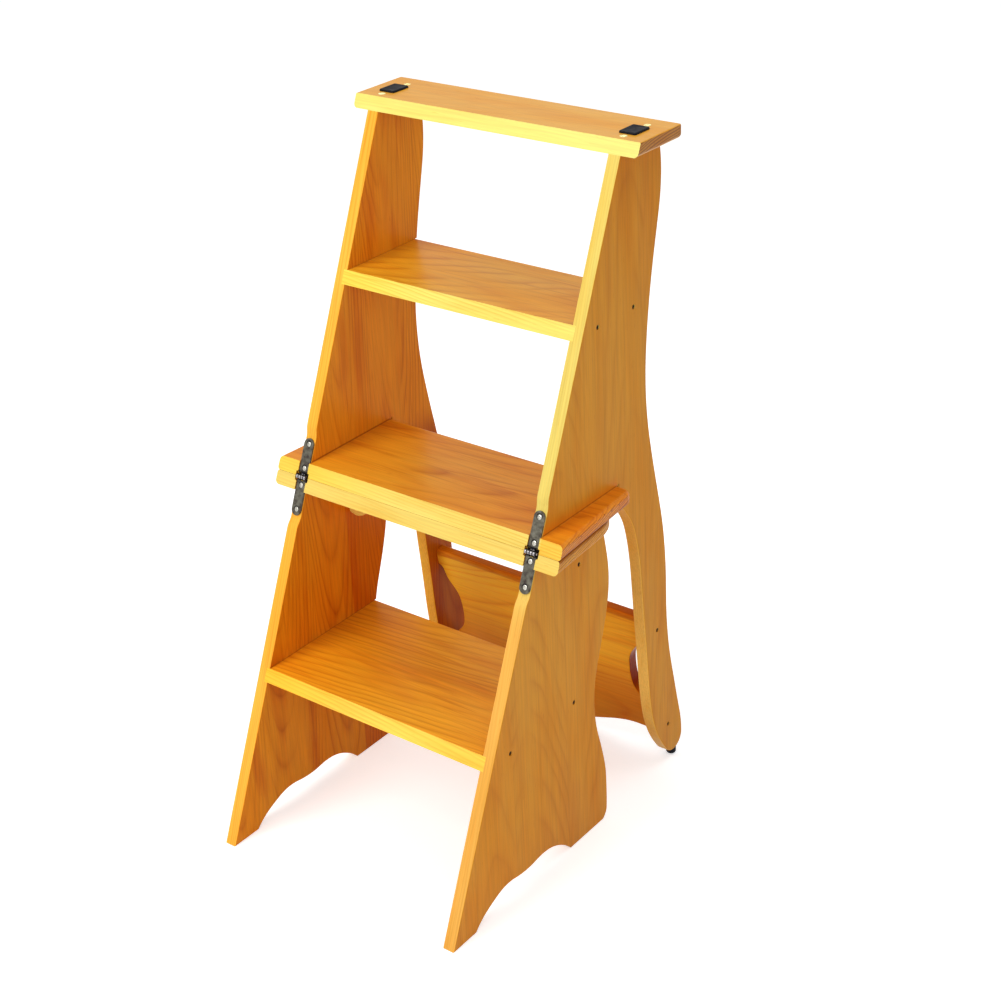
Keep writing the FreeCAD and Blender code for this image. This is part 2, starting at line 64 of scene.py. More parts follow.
# Front edges and hinges lie on a plane that leans back by this slope
LEAN = 0.43
LEAN_ANGLE = math.atan(LEAN)
FOLD_HEIGHT = 0.45
FOLD_Y = -0.0577
AXIS_DEPTH = FOLD_Y * math.cos(LEAN_ANGLE) - FOLD_HEIGHT * math.sin(LEAN_ANGLE)
INTO_EDGE = (0.0, math.cos(LEAN_ANGLE), -math.sin(LEAN_ANGLE))
HINGE_X = 0.1805
LEAF_SCREWS = (0.011, 0.04225)

# Levels where boards meet
INNER_FACE = 0.1720
OUTSIDE_PANELS = 0.1805
SEAT_OVERHANG = 0.198
SEAT_TOP = 0.4675
SEAT_REAR = 0.108
CORNER_SOFTNESS = 0.002


# Camera
def look_matrix(azimuth, dip, roll, place):
    level_run = math.cos(dip)
    ahead = Vector((-math.sin(azimuth) * level_run, math.cos(azimuth) * level_run, -math.sin(dip)))
    level = Vector((math.cos(azimuth), math.sin(azimuth), 0.0))
    upright = level.cross(ahead)
    right = level * math.cos(roll) + upright * math.sin(roll)
    top = upright * math.cos(roll) - level * math.sin(roll)
    matrix = Matrix((right, top, -ahead)).transposed().to_4x4()
    matrix.translation = place
    return matrix


def make_camera():
    data = bpy.data.cameras.new("camera")
    data.sensor_fit = "HORIZONTAL"
    data.angle = 2 * math.atan(HALF_FRAME / FOCAL_PIXELS)
    data.shift_x = SHIFT_X
    data.shift_y = SHIFT_Y
    data.clip_end = CLIP_END
    camera = bpy.data.objects.new("camera", data)
    scene.collection.objects.link(camera)
    camera.matrix_world = look_matrix(VIEW_AZIMUTH, VIEW_DIP, VIEW_ROLL, VIEW_PLACE)
    scene.camera = camera


make_camera()
scene.view_settings.view_transform = "Standard"


# Node graphs
class Graph:
    def __init__(self, tree):
        self.tree = tree

    def add(self, kind, **values):
        node = self.tree.nodes.new(kind)
        for key, value in values.items():
            setattr(node, key, value)
        return node

    def feed(self, socket, value):
        if isinstance(value, bpy.types.NodeSocket):
            self.tree.links.new(value, socket)
        elif value is not None:
            if isinstance(value, (tuple, list, Vector)) and len(value) == 3 and socket.type == "RGBA":
                value = (*value, 1.0)
            socket.default_value = value

    def math(self, operation, a, b=None, c=None):
        node = self.add("ShaderNodeMath", operation=operation)
        for socket, value in zip(node.inputs, (a, b, c)):
            self.feed(socket, value)
        return node.outputs[0]

    def times(self, a, b):
        return self.math("MULTIPLY", a, b)

    def times_add(self, a, b, c):
        return self.math("MULTIPLY_ADD", a, b, c)

    def distance(self, a, b):
        return self.math("SQRT", self.math("ADD", self.times(a, a), self.times(b, b)))

    def vector(self, operation, a, b=None, out=0):
        node = self.add("ShaderNodeVectorMath", operation=operation)
        self.feed(node.inputs[0], a)
        if b is not None:
            self.feed(node.inputs[1], b)
        return node.outputs[out]

    def dot(self, a, b):
        return self.vector("DOT_PRODUCT", a, b, out="Value")

    def tint(self, colour, tone):
        return self.vector("MULTIPLY", colour, tone)

    def scaled(self, colour, factor):
        node = self.add("ShaderNodeVectorMath", operation="SCALE")
        self.feed(node.inputs[0], colour)
        self.feed(node.inputs["Scale"], factor)
        return node.outputs[0]

    def combine(self, x, y, z):
        node = self.add("ShaderNodeCombineXYZ")
        for socket, value in zip(node.inputs, (x, y, z)):
            self.feed(socket, value)
        return node.outputs[0]

    def separate(self, vector):
        node = self.add("ShaderNodeSeparateXYZ")
        self.feed(node.inputs[0], vector)
        return node.outputs

    def noise(self, place, scale=1.0, detail=2.0, rough=0.5, out="Fac"):
        node = self.add("ShaderNodeTexNoise", noise_dimensions="3D")
        self.feed(node.inputs["Vector"], place)
        node.inputs["Scale"].default_value = scale
        node.inputs["Detail"].default_value = detail
        node.inputs["Roughness"].default_value = rough
        return node.outputs[out]

    def ramp(self, value, stops):
        node = self.add("ShaderNodeValToRGB")
        elements = node.color_ramp.elements
        while len(elements) > 1:
            elements.remove(elements[-1])
        for i, (place, colour) in enumerate(stops):
            element = elements[0] if i == 0 else elements.new(place)
            element.position = place
            if not isinstance(colour, tuple):
                colour = (colour, colour, colour)
            element.color = (*colour, 1.0)
        self.feed(node.inputs[0], value)
        return node.outputs[0]

    def span(self, value, low, high, to_low=0.0, to_high=1.0):
        node = self.add("ShaderNodeMapRange", interpolation_type="SMOOTHSTEP")
        self.feed(node.inputs["Value"], value)
        node.inputs["From Min"].default_value = low
        node.inputs["From Max"].default_value = high
        node.inputs["To Min"].default_value = to_low
        node.inputs["To Max"].default_value = to_high
        return node.outputs[0]

    def until(self, value, full, none, share=1.0):
        # full share up to the first level, none from the second on
        return self.span(value, full, none, share, 0.0)

    def mix(self, share, a, b):
        node = self.add("ShaderNodeMix", data_type="RGBA", blend_type="MIX")
        self.feed(node.inputs[0], share)
        self.feed(node.inputs[6], a)
        self.feed(node.inputs[7], b)
        return node.outputs[2]

    def bump(self, height, strength, reach):
        node = self.add("ShaderNodeBump")
        node.inputs["Strength"].default_value = strength
        node.inputs["Distance"].default_value = reach
        self.feed(node.inputs["Height"], height)
        return node.outputs[0]


def new_material(name):
    material = bpy.data.materials.new(name)
    material.use_nodes = True
    tree = material.node_tree
    tree.nodes.clear()
    graph = Graph(tree)
    output = graph.add("ShaderNodeOutputMaterial")
    shader = graph.add("ShaderNodeBsdfPrincipled")
    tree.links.new(shader.outputs[0], output.inputs["Surface"])
    return material, graph, shader


def beside_hinge(g, place):
    # how far a point lies to either side of the middle of the nearer hinge
    return g.math("SUBTRACT", g.math("ABSOLUTE", g.dot(place, SIDE)), HINGE_X)


# Pine, cut from solid wood: rings round a pith line, seen wherever a face cuts them
EARLY = (0.74, 0.31, 0.024)
LATE = (0.55, 0.175, 0.008)
# painted light: pale and warm colours for front edges lit by the key lamp
LIT_EDGE_EARLY = (0.89, 0.70, 0.17)
LIT_EDGE_LATE = (0.80, 0.47, 0.06)
LIT_EDGE_WARM_EARLY = (0.97, 0.47, 0.085)
LIT_EDGE_WARM_LATE = (0.82, 0.28, 0.03)
END_EARLY = (0.62, 0.26, 0.022)
END_LATE = (0.20, 0.05, 0.004)
RUDDY = (0.97, 0.84, 0.6)
DEEP_STAIN = (0.84, 0.62, 0.40)
SLOT_SHADE = (0.012, 0.008, 0.006)
SHEEN_TINT = (1.0, 0.80, 0.42)
PLAIN = (1.0, 1.0, 1.0)

RING_WIDTH = 0.0034
RING_STOPS = [(0.0, 0.45), (0.14, 0.05), (0.45, 0.0), (0.78, 0.45), (0.92, 1.0), (1.0, 0.45)]
RING_UNEVEN = 90.0
PLANK_WIDTH = 0.11
PLANK_TONE = 0.05
PLANK_STEP = 0.37
PITH_SPREAD_ACROSS = 0.07
PITH_SPREAD_DEEP = 0.03
PITH_DRIFT = 0.004
PITH_SLANT = 0.05
WANDER = 0.0088
SLOT_RADIUS = (0.0060, 0.0066)
SLOT_SIDE = (0.0088, 0.0094)


class Wood:
    # the coordinates of one board: s along the grain, u across it, v out of the face
    def __init__(self, g, grain, face, edge_slope, seed):
        grain = Vector(grain).normalized()
        face = Vector(face).normalized()
        across = grain.cross(face).normalized()
        face = across.cross(grain).normalized()
        coords = g.add("ShaderNodeTexCoord")
        self.g = g
        self.seed = seed
        self.place = coords.outputs["Object"]
        self.normal = coords.outputs["Normal"]
        self.s = g.dot(self.place, grain)
        self.u = g.dot(self.place, across)
        self.v = g.dot(self.place, face)
        self.frontal = g.span(g.dot(self.normal, (0.0, -1.0, 0.0)), 0.45, 0.80)
        self.end = g.span(g.math("ABSOLUTE", g.dot(self.normal, grain)), 0.75, 0.97)
        self.flat = g.math("ABSOLUTE", g.dot(self.normal, face))
        if edge_slope:
            # a front edge is its own strip, with the grain along it
            slope = g.times(self.frontal, edge_slope)
            self.u = g.math("SUBTRACT", self.u, g.times(slope, self.s))

    def stretched(self, along, across, ahead=0.0, aside=0.0):
        g = self.g
        return g.combine(g.times_add(self.s, along, ahead), g.times(self.u, across),
                         g.times_add(self.v, across, aside))

    def unless_frontal(self, share=1.0):
        return self.g.times_add(self.frontal, -share, 1.0)


def planks(wood):
    # boards are glued up from planks, each with its own tone and its own piece of the tree
    g = wood.g
    start = wood.seed * PLANK_STEP
    index = g.math("FLOOR", g.math("ADD", g.math("DIVIDE", wood.u, PLANK_WIDTH), start))
    pick = g.add("ShaderNodeTexWhiteNoise", noise_dimensions="2D")
    g.feed(pick.inputs["Vector"], g.combine(index, wood.seed, 0.0))
    picks = g.separate(pick.outputs["Color"])
    middle = g.times(g.math("SUBTRACT", index, start - 0.5), PLANK_WIDTH)
    return g.math("SUBTRACT", wood.u, middle), picks


def ring_lines(wood, pith, figure):
    g = wood.g
    across, (pick_a, pick_b, pick_c) = planks(wood)
    # slow wander of the grain, long in the grain direction
    slow = wood.stretched(3.4, 12.0, g.times(pick_a, 7.0), wood.seed * 3.1)
    drift = g.noise(slow, detail=2.5, out="Color")
    moved = g.separate(g.vector("SUBTRACT", drift, (0.5, 0.5, 0.5)))
    lean_u = g.times_add(pick_b, PITH_SPREAD_ACROSS, pith[0] - PITH_SPREAD_ACROSS / 2)
    lean_v = g.times_add(pick_c, PITH_SPREAD_DEEP, pith[1])
    slant = g.times_add(pick_b, PITH_SLANT, PITH_SLANT * 0.35)
    ring_u = g.math("ADD", g.times_add(wood.s, PITH_DRIFT, across), lean_u)
    ring_v = g.math("ADD", g.times_add(wood.s, slant, wood.v), lean_v)
    ring_u = g.times_add(moved[0], WANDER, ring_u)
    ring_v = g.times_add(moved[1], WANDER, ring_v)
    radius = g.distance(ring_u, ring_v)
    uneven = g.noise(g.combine(g.times(radius, RING_UNEVEN), wood.seed, 0.0), detail=1.0)
    count = g.times_add(uneven, 2.0, g.math("DIVIDE", radius, RING_WIDTH))
    late = g.ramp(g.math("FRACT", count), RING_STOPS)
    weight = g.noise(wood.stretched(3.0, 26.0))
    weight = g.span(weight, 0.32, 0.66, 0.12 * figure, figure)
    return g.times(late, g.math("MAXIMUM", weight, wood.end)), pick_a


def dark_lines(wood, rings, streaks):
    # rings, thin darker streaks and short flecks, a little softer on front edges
    g = wood.g
    streak = g.noise(wood.stretched(5.0, 170.0, aside=wood.seed), detail=3.0, rough=0.6)
    streak = g.span(streak, 0.54, 0.78, 0.0, streaks)
    fleck = g.noise(wood.stretched(55.0, 650.0))
    fleck = g.span(fleck, 0.66, 0.74, 0.0, 0.55)
    lines = g.math("MAXIMUM", rings, g.math("MAXIMUM", streak, fleck))
    return g.times(lines, wood.unless_frontal(0.1))


def wood_colour(wood, lines, cloud, edge_light, edge_light_low, edge_light_span, end_tone, stain):
    # painted light: front edges, turned to the key lamp, are painted paler, and warmer lower down; end
    # grain drinks more varnish
    g = wood.g
    edge_light_share = edge_light
    if edge_light_low is not None:
        edge_light_share = g.span(g.dot(wood.place, UP), edge_light_span[0], edge_light_span[1], edge_light_low, edge_light)
    lit_edge_early = g.mix(edge_light_share, LIT_EDGE_WARM_EARLY, LIT_EDGE_EARLY)
    lit_edge_late = g.mix(edge_light_share, LIT_EDGE_WARM_LATE, LIT_EDGE_LATE)
    end_early = [a * b for a, b in zip(END_EARLY, end_tone)]
    end_late = [a * b for a, b in zip(END_LATE, end_tone)]
    early = g.mix(wood.end, g.mix(wood.frontal, EARLY, lit_edge_early), end_early)
    late = g.mix(wood.end, g.mix(wood.frontal, LATE, lit_edge_late), end_late)
    colour = g.mix(lines, early, late)
    colour = g.mix(g.span(cloud, 0.40, 0.68, 0.0, 0.8), colour, g.tint(colour, RUDDY))
    # the varnish sinks in deeper in long soft patches
    patch = g.noise(wood.stretched(6.0, 30.0, ahead=wood.seed * 1.7))
    patch = g.times(g.span(patch, 0.48, 0.70, 0.0, stain), wood.unless_frontal(0.85))
    return g.mix(patch, colour, g.tint(colour, DEEP_STAIN))


def wood_shade(wood, fibre, plank_pick):
    g = wood.g
    shade = g.span(fibre, 0.30, 0.70, 0.92, 1.06)
    shade = g.times(shade, g.times_add(plank_pick, PLANK_TONE * 2, 1.0 - PLANK_TONE))
    # varnish worn a little thinner on the rounded arrises
    arris = g.times(g.span(wood.flat, 0.12, 0.5), g.until(wood.flat, 0.6, 0.98))
    return g.times_add(arris, 0.10, shade)


def faded(wood, colour, fades, face_fades, top_shade_tone):
    # colour runs darker or warmer towards some ends of a board; several of these fades are painted shade,
    # as noted in the table
    g = wood.g
    for axis, low, high, far_tone in fades:
        share = g.span(g.dot(wood.place, axis), low, high)
        colour = g.mix(share, colour, g.tint(colour, far_tone))
    for axis, low, high, far_tone in face_fades:
        share = g.times(g.span(g.dot(wood.place, axis), low, high), g.span(wood.flat, 0.6, 0.9))
        colour = g.mix(share, colour, g.tint(colour, far_tone))
    # painted shade: faces turned up take a darker tone
    if top_shade_tone is not None:
        upward_shade = g.span(g.dot(wood.normal, UP), 0.35, 0.75)
        colour = g.mix(upward_shade, colour, g.tint(colour, top_shade_tone))
    return colour


def with_corner_shade(wood, colour, shaded_corners):
    # painted shade: dark red in the corners and seams where boards meet, where some varnish gathers as well
    g = wood.g
    for shaded_corner in shaded_corners:
        along = g.dot(wood.place, shaded_corner["axis"])
        if shaded_corner["axis"] == SIDE:
            along = g.math("ABSOLUTE", along)
        off = g.math("ABSOLUTE", g.math("SUBTRACT", along, shaded_corner["level"]))
        corner_shade = g.times(g.until(off, 0.0, shaded_corner["reach"], 0.7), wood.unless_frontal())
        if "rear" in shaded_corner:
            rear = shaded_corner["rear"]
            corner_shade = g.times(corner_shade, g.until(g.dot(wood.place, REARWARD), rear - CORNER_SOFTNESS, rear))
        if "out" in shaded_corner:
            out = shaded_corner["out"]
            aside = g.math("ABSOLUTE", g.dot(wood.place, SIDE))
            corner_shade = g.times(corner_shade, g.span(aside, out - CORNER_SOFTNESS, out))
        colour = g.mix(corner_shade, colour, shaded_corner["colour"])
    return colour


def with_slot_shade(wood, colour):
    # painted shade: the wood inside the slot round the hinge knuckles is painted near black
    g = wood.g
    axis_z = g.math("SUBTRACT", g.dot(wood.place, UP), FOLD_HEIGHT)
    axis_y = g.math("SUBTRACT", g.dot(wood.place, REARWARD), FOLD_Y)
    near = g.until(g.distance(axis_z, axis_y), *SLOT_RADIUS)
    beside = g.until(g.math("ABSOLUTE", beside_hinge(g, wood.place)), *SLOT_SIDE)
    return g.mix(g.times(near, beside), colour, SLOT_SHADE)


def pine(name, grain, face, pith, seed, tone=PLAIN, edge_light=1.0, edge_light_low=None, edge_light_span=(0.05, 0.45),
         coat=0.0, specular=0.22, figure=0.8, streaks=0.5, stain=0.3, end_tone=PLAIN, shaded_corners=(),
         fades=(), face_fades=(), top_shade_tone=None, edge_slope=0.0):
    material, g, shader = new_material(name)
    wood = Wood(g, grain, face, edge_slope, seed)
    rings, plank_pick = ring_lines(wood, pith, figure)
    fibre = g.noise(wood.stretched(9.0, 420.0), detail=4.0, rough=0.65)
    cloud = g.noise(wood.stretched(4.0, 16.0, ahead=seed), detail=3.0)
    lines = dark_lines(wood, rings, streaks)
    colour = wood_colour(wood, lines, cloud, edge_light, edge_light_low, edge_light_span, end_tone, stain)
    colour = g.tint(g.scaled(colour, wood_shade(wood, fibre, plank_pick)), tone)
    colour = faded(wood, colour, fades, face_fades, top_shade_tone)
    colour = with_slot_shade(wood, with_corner_shade(wood, colour, shaded_corners))
    g.feed(shader.inputs["Base Color"], colour)
    rough = g.math("ADD", g.span(cloud, 0.25, 0.75, 0.30, 0.42), g.times(fibre, 0.08))
    g.feed(shader.inputs["Roughness"], rough)
    shader.inputs["Specular IOR Level"].default_value = specular
    shader.inputs["Specular Tint"].default_value = (*SHEEN_TINT, 1.0)
    shader.inputs["Coat Weight"].default_value = coat
    shader.inputs["Coat Roughness"].default_value = 0.2
    g.feed(shader.inputs["Normal"], g.bump(g.times_add(lines, 0.6, fibre), 0.25, 0.0004))
    return material


# Hinge metal: mottled pewter, with painted shade black round the screws and in the slot, and painted
# highlights on the knuckles
PEWTER_STOPS = [(0.30, (0.055, 0.036, 0.034)), (0.48, (0.115, 0.105, 0.080)), (0.70, (0.19, 0.18, 0.14))]
SCREW_SHADOW = (0.012, 0.012, 0.014)
SCREW_RING = (0.0036, 0.0046)
KNUCKLE_SHADE = (0.008, 0.007, 0.010)
KNUCKLE_GAP_SHADE = (0.02, 0.018, 0.022)
KNUCKLE_HIGHLIGHT = (0.42, 0.40, 0.41)
RIB_PITCH = 0.0040
RIB_START = 0.02


def pewter(name):
    material, g, shader = new_material(name)
    place = g.add("ShaderNodeTexCoord").outputs["Object"]
    mottle = g.noise(place, scale=160.0, detail=4.0, rough=0.6)
    fine = g.noise(place, scale=900.0)
    colour = g.ramp(mottle, PEWTER_STOPS)
    # the run is measured along the leaf, from the hinge axis
    rise = g.math("SUBTRACT", g.dot(place, UP), FOLD_HEIGHT)
    run = g.math("ABSOLUTE", g.math("DIVIDE", rise, math.cos(LEAN_ANGLE)))
    beside = beside_hinge(g, place)
    for centre in LEAF_SCREWS:
        ring = g.distance(g.math("SUBTRACT", run, centre), beside)
        colour = g.mix(g.until(ring, *SCREW_RING, 0.8), colour, SCREW_SHADOW)
    # painted shade: black behind and under the knuckles
    depth = g.math("ADD", g.dot(place, INTO_EDGE), -AXIS_DEPTH)
    sunk = g.times(g.until(run, 0.0035, 0.0052), g.span(depth, -0.0016, 0.0))
    neck = g.times(g.until(run, 0.0052, 0.0068), g.span(run, 0.0026, 0.0032))
    colour = g.mix(g.math("MAXIMUM", sunk, neck), colour, KNUCKLE_SHADE)
    # painted highlight along each knuckle, with painted shade in the gaps between them
    rib_highlight = g.math("FRACT", g.math("DIVIDE", g.math("ADD", beside, RIB_START), RIB_PITCH))
    rib_highlight = g.times(g.span(rib_highlight, 0.0, 0.12), g.until(rib_highlight, 0.55, 0.68))
    lit_knuckle = g.mix(rib_highlight, KNUCKLE_GAP_SHADE, KNUCKLE_HIGHLIGHT)
    colour = g.mix(g.until(run, 0.0024, 0.003), colour, lit_knuckle)
    g.feed(shader.inputs["Base Color"], colour)
    shader.inputs["Metallic"].default_value = 0.85
    g.feed(shader.inputs["Roughness"], g.span(mottle, 0.3, 0.7, 0.36, 0.52))
    g.feed(shader.inputs["Normal"], g.bump(g.math("ADD", mottle, fine), 0.2, 0.0003))
    return material


def steel(name, low, high):
    material, g, shader = new_material(name)
    place = g.add("ShaderNodeTexCoord").outputs["Object"]
    haze = g.noise(place, scale=500.0, detail=3.0)
    g.feed(shader.inputs["Base Color"], g.ramp(haze, [(0.3, low), (0.7, high)]))
    shader.inputs["Metallic"].default_value = 0.9
    g.feed(shader.inputs["Roughness"], g.span(haze, 0.3, 0.7, 0.28, 0.42))
    return material


def rubber(name):
    material, g, shader = new_material(name)
    place = g.add("ShaderNodeTexCoord").outputs["Object"]
    grit = g.noise(place, scale=1400.0, detail=3.0)
    scuff = g.noise(place, scale=120.0, detail=3.0)
    dull = g.ramp(scuff, [(0.35, (0.002, 0.002, 0.004)), (0.75, (0.006, 0.006, 0.011))])
    g.feed(shader.inputs["Base Color"], dull)
    shader.inputs["Specular IOR Level"].default_value = 0.14
    g.feed(shader.inputs["Roughness"], g.span(scuff, 0.3, 0.7, 0.42, 0.6))
    g.feed(shader.inputs["Normal"], g.bump(grit, 0.2, 0.0002))
    return material


# Which wood each board is cut from, and the painted light and shade laid on each
CORNER_SHADE_RED = (0.34, 0.07, 0.005)
panel_corner_shade = dict(axis=SIDE, level=INNER_FACE, reach=0.0019, colour=CORNER_SHADE_RED)
seat_corner_shade = dict(axis=UP, level=SEAT_TOP, reach=0.0021, rear=SEAT_REAR, colour=(0.38, 0.08, 0.005))
# painted shade: a wide red band on the outer face of the right panel just above the seat
seat_band_shade = dict(axis=UP, level=SEAT_TOP, reach=0.017, rear=SEAT_REAR, out=OUTSIDE_PANELS,
            colour=(0.80, 0.24, 0.008))
# painted shade: near black along the seam between the two seat boards
seam_shade = dict(axis=UP, level=FOLD_HEIGHT, reach=0.0062, out=SEAT_OVERHANG,
                 colour=(0.20, 0.012, 0.001))
# painted shade: the left ends of the boards are redder and darker, where the tops lie in less light
left_end_shade = (LEFTWARD, 0.0, 0.17, (1.06, 0.93, 0.5))
# painted light: the left panels are made brighter and warmer to make up for the lamp light that the right
# panel keeps off their inner faces
LEFT_PANEL_LIGHT = (1.16, 1.02, 0.6)
panel = dict(grain=UP, face=SIDE, edge_slope=LEAN, specular=0.12)
upper_panel = dict(panel, edge_light_span=(0.42, 0.47))
board = dict(grain=SIDE, face=UP, pith=(0.10, 0.06))
seat = dict(board, end_tone=(1.3, 1.3, 1.0))
pines = {
    "lower_side_panel_right": dict(panel, pith=(0.0, 0.05), seed=3.0, edge_light_low=0.12,
                                   edge_light_span=(0.36, 0.43), figure=0.5,
                                   face_fades=((DOWNWARD, -0.12, -0.02, (1.0, 0.93, 0.95)),)),
    "lower_side_panel_left": dict(panel, pith=(0.0, 0.06), seed=7.0, tone=LEFT_PANEL_LIGHT, edge_light=0.35,
                                  edge_light_low=0.2, figure=1.0, streaks=0.9, stain=0.85,
                                  face_fades=((REARWARD, 0.006, 0.009, (0.85, 0.62, 0.45)),
                                              (UP, 0.2, 0.24, (1.0, 0.92, 0.6)))),
    "upper_side_panel_right": dict(upper_panel, pith=(0.0, 0.06), seed=12.0, figure=0.45,
                                   edge_light_low=0.35, shaded_corners=(seat_band_shade, seat_corner_shade),
                                   face_fades=((UP, 0.68, 0.9, (0.98, 0.88, 0.6)),)),
    "upper_side_panel_left": dict(upper_panel, pith=(0.0, 0.07), seed=17.0, tone=LEFT_PANEL_LIGHT,
                                  figure=0.95, streaks=0.85, stain=0.7, edge_light=0.4, edge_light_low=0.0,
                                  shaded_corners=(seat_corner_shade,),
                                  # painted shade: darker and redder below the seat, where the leg lies in
                                  # shade
                                  fades=((DOWNWARD, -0.46, -0.40, (0.74, 0.88, 0.74)),),
                                  face_fades=((DOWNWARD, -0.46, -0.40, (0.84, 0.46, 0.34)),)),
    "lower_seat_board": dict(seat, seed=21.0, edge_light=0.85, figure=0.5, shaded_corners=(seam_shade,)),
    "upper_seat_board": dict(seat, seed=25.0, coat=0.1, figure=1.0, streaks=1.0, stain=0.55,
                             shaded_corners=(panel_corner_shade, seam_shade),
                             fades=(left_end_shade, (SIDE, 0.188, 0.192, (1.08, 0.84, 0.45)))),
    "lower_step": dict(board, seed=31.0, edge_light=0.5, coat=0.05, figure=0.9, streaks=1.0, stain=0.55,
                       tone=(1.1, 1.15, 0.8), shaded_corners=(panel_corner_shade,), fades=(left_end_shade,)),
    "upper_step": dict(board, seed=36.0, edge_light=0.85, coat=0.15, figure=0.9, streaks=0.9,
                       tone=(1.0, 1.15, 1.1), shaded_corners=(panel_corner_shade,), fades=(left_end_shade,)),
    "top_board": dict(board, seed=41.0, coat=0.2, figure=0.2, streaks=0.35, stain=0.1,
                      tone=(0.96, 1.1, 1.15), end_tone=(0.9, 0.72, 0.5)),
    "lower_apron": dict(board, face=REARWARD, seed=47.0, tone=(1.3, 1.35, 1.3)),
    # painted shade: the back board darkens towards the bottom, towards the right where the leg shades it,
    # and along its top edge
    "back_board": dict(board, face=REARWARD, pith=(0.0, 0.05), seed=52.0, edge_light=0.0,
                       tone=(1.03, 1.08, 0.35), specular=0.1, end_tone=(0.8, 0.3, 0.06),
                       top_shade_tone=(1.0, 0.85, 0.8), figure=1.0, streaks=0.8,
                       fades=((UP, 0.2255, 0.2285, (0.72, 0.5, 0.4)),
                              (DOWNWARD, -0.17, -0.10, (0.74, 0.55, 0.6)),
                              (SIDE, 0.08, 0.14, (0.96, 0.88, 0.85)))),
}
plug_pine = pine("pine_plugs", UP, SIDE, (0.0, 0.03), seed=61.0, tone=(1.2, 1.9, 5.0),
                 end_tone=(1.5, 2.3, 5.0))
hinge_metal = pewter("pewter")
screw_metal = steel("screw_steel", (0.50, 0.48, 0.42), (0.78, 0.76, 0.68))
# dark bronze screw heads, made darker still as painted shade for their countersunk holes
shaded_screw_metal = steel("screw_bronze_shaded", (0.05, 0.032, 0.018), (0.12, 0.08, 0.045))
black = rubber("rubber")


def material_of(name):
    if name in pines:
        return pine("pine_" + name, **pines[name])
    if name.endswith("plugs"):
        return plug_pine
    if name.endswith("screws"):
        return screw_metal if "hinge" in name else shaded_screw_metal
    if "hinge" in name:
        return hinge_metal
    return black


for name in nodes:
    material = material_of(name)
    for slot in nodes[name].material_slots:
        slot.material = material

# Meshes built here take the place of plain CAD ones where the camera sees more
SHARP_ANGLE = math.radians(35)
SCREW_GRID = 24
HINGE_SCREW = dict(radius=0.0031, shank=0.0015, dome=0.0004)
WOOD_SCREW = dict(radius=0.0030, shank=0.0018, dome=0.0003)
SCREW_RIM = 0.0009
SCREW_NECK = 0.0032
SCREW_TIP = 0.05
RECESS_HALF_WIDTH = 0.00052
RECESS_REACH = 0.66
RECESS_DEPTH = 0.0011
RECESS_SLOPE = 0.6
SAME_SCREW = 0.008
PAD_SETBACK = 0.0088
PAD_HALF_X = 0.0118
PAD_HALF_Y = 0.0152
PAD_CORNER = 0.0022
PAD_LEAST_CORNER = 0.0004
PAD_STEPS = 7
PAD_RINGS = ((0.0, 0.0), (0.0, 0.0018), (0.0004, 0.0024), (0.0010, 0.0027), (0.0026, 0.0026),
             (0.0040, 0.0022))
BACK_BOARD_CROWN = 0.014
BACK_BOARD_RISE = 0.0042
EDGE_BAND = 0.002


def add_piece(name, points, faces, material, body, replaced):
    mesh = bpy.data.meshes.new(name)
    mesh.from_pydata([tuple(p) for p in points], [], faces)
    mesh.materials.append(material)
    mesh.polygons.foreach_set("use_smooth", [True] * len(mesh.polygons))
    mesh.set_sharp_from_angle(angle=SHARP_ANGLE)
    piece = bpy.data.objects.new(name, mesh)
    scene.collection.objects.link(piece)
    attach(piece, body)
    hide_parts(replaced)


def screw_groups(name, into):
    # the points of each CAD screw of one node, with the way it points
    groups = []
    for vertex in nodes[name].data.vertices:
        p = nodes[name].matrix_world @ vertex.co
        way = into if into[0] == 0 else Vector((-1.0 if p.x > 0 else 1.0, 0.0, 0.0))
        flat = p - way * p.dot(way)
        for group in groups:
            if (group["way"] - way).length < 0.1 and (group["flat"] - flat).length < SAME_SCREW:
                group["points"].append(p)
                break
        else:
            groups.append({"way": way, "flat": flat, "points": [p]})
    return groups


def screw_ends(name, into):
    # the middle of each head, the way in, two directions across it, and the length
    ends = []
    for group in screw_groups(name, into):
        way = group["way"]
        cross = way.cross(Vector(SIDE) if abs(way.x) < 0.5 else Vector(UP)).normalized()
        other = way.cross(cross).normalized()
        middle = Vector((0, 0, 0))
        for axis in (cross, other):
            spots = [p.dot(axis) for p in group["points"]]
            middle += axis * (min(spots) + max(spots)) / 2
        depths = [p.dot(way) for p in group["points"]]
        ends.append((middle + way * min(depths), way, cross, other, max(depths) - min(depths)))
    return ends


def head_depth(x, y, radius, dome):
    # a domed head with a cross recess
    depth = dome * (x * x + y * y)
    arm = min(abs(x), abs(y)) * radius
    reach = max(abs(x), abs(y)) * radius
    if arm < RECESS_HALF_WIDTH and reach < RECESS_REACH * radius:
        depth += RECESS_DEPTH * (1 - reach / radius * RECESS_SLOPE)
    return depth


def join_rings(faces, rings):
    for one, two in zip(rings, rings[1:]):
        n = len(one)
        for k in range(n):
            faces.append((one[k], one[(k + 1) % n], two[(k + 1) % n], two[k]))


